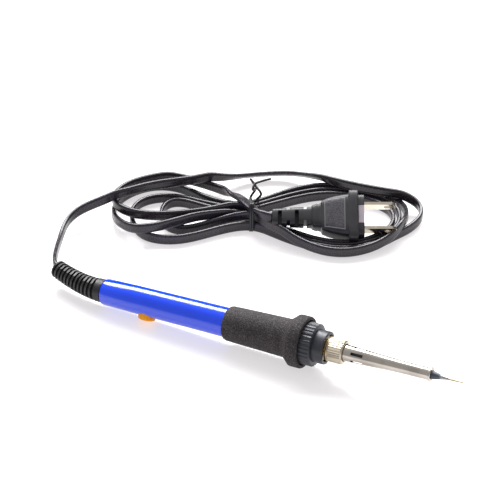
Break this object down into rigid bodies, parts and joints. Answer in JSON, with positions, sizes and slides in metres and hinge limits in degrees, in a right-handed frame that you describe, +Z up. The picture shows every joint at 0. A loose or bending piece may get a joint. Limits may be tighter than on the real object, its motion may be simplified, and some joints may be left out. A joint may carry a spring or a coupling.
{
  "type": "soldering iron",
  "caption": "Adjustable-temperature pencil soldering iron with a conical tip, rubber grip sleeve, handle dial and a flat mains cord hanked and tied behind it.",
  "frame": {"origin": "on the table, under the centre of the bounding box of the iron itself (its cord, hank and plug left out)", "axes": "+X runs from the cord boot towards the soldering tip; the iron's own axis rises 2.4 degrees from +X because it rests on the rim of the grip flange and on the dial; +Z is up; the hanked cord lies on the +Y side"},
  "size_m": [0.2339, 0.1563, 0.0245],
  "materials": {
    "boot_pvc": "satin black flexible vinyl",
    "blue_plastic": "glossy saturated blue",
    "grip_rubber": "matt charcoal, fine grain",
    "collar_plastic": "heat-resistant moulding, satin",
    "flange_steel": "pressed, satin",
    "screw_steel": "zinc plated",
    "bush_brass": "turned",
    "base_ceramic": "unglazed white",
    "heater_ceramic": "fired alumina",
    "lead_sleeve": "woven glass sleeve",
    "board_laminate": "green solder resist",
    "pot_plastic": "moulded",
    "epoxy_black": "moulded epoxy",
    "film_red": "dipped resin",
    "resistor_lacquer": "lacquered",
    "diac_blue": "lacquered",
    "core_brown": "vinyl",
    "core_blue": "vinyl",
    "clamp_nylon": "natural nylon",
    "dial_orange": "satin orange moulding",
    "shaft_white": "moulded",
    "nut_nickel": "knurled, warm nickel plate",
    "tube_steel": "polished stainless tube",
    "tip_plating": "iron-plated copper, tinned point",
    "cord_pvc": "satin black vinyl",
    "tie_plastic": "black coated wire",
    "plug_pvc": "grained black vinyl moulding",
    "insert_plastic": "hard pale moulding",
    "blade_nickel": "nickel-plated brass"
  },
  "bodies": {
    "handle": {"cord_boot": "boot_pvc", "handle_tube": "blue_plastic", "grip_sleeve": "grip_rubber", "insulating_collar": "collar_plastic", "heater_flange": "flange_steel", "flange_screw_1": "screw_steel", "flange_screw_2": "screw_steel", "flange_screw_3": "screw_steel", "threaded_bush": "bush_brass", "heater_base": "base_ceramic", "ceramic_heater": "heater_ceramic", "heater_lead_a": "lead_sleeve", "heater_lead_b": "lead_sleeve", "circuit_board": "board_laminate", "potentiometer_body": "pot_plastic", "triac": "epoxy_black", "film_capacitor": "film_red", "resistor": "resistor_lacquer", "diac": "diac_blue", "core_wire_live": "core_brown", "core_wire_neutral": "core_blue", "cord_clamp": "clamp_nylon", "cord_lead": "cord_pvc", "cord_hank": "cord_pvc", "cord_tail": "cord_pvc", "twist_tie": "tie_plastic", "plug_body": "plug_pvc", "plug_insert": "insert_plastic", "plug_blade_upper": "blade_nickel", "plug_blade_lower": "blade_nickel"},
    "dial": {"temperature_dial": "dial_orange", "potentiometer_shaft": "shaft_white"},
    "barrel": {"tip_enclosure": "tube_steel"},
    "nut": {"tip_nut": "nut_nickel"},
    "tip": {"soldering_tip": "tip_plating"}
  },
  "joints": [
    {"name": "dial_turn", "type": "hinge", "parent": "handle", "child": "dial", "pos_m": [-0.05214, 0, 0.00896], "axis": [0.038, -0.4226, -0.9055], "range_deg": [-135, 135]},
    {"name": "barrel_slide", "type": "slide", "parent": "handle", "child": "barrel", "axis": [0.9991, 0, 0.0419], "range_m": [0, 0.005]},
    {"name": "nut_turn", "type": "hinge", "parent": "barrel", "child": "nut", "pos_m": [0.04093, 0, 0.01286], "axis": [0.9991, 0, 0.0419], "range_deg": [0, 1800]},
    {"name": "tip_turn", "type": "hinge", "parent": "barrel", "child": "tip", "pos_m": [0.09206, 0, 0.015], "axis": [0.9991, 0, 0.0419], "continuous": true}
  ],
  "couplings": [
    {"joint": "nut_turn", "follows": "barrel_slide", "rad_per_m": 6283.2}
  ]
}
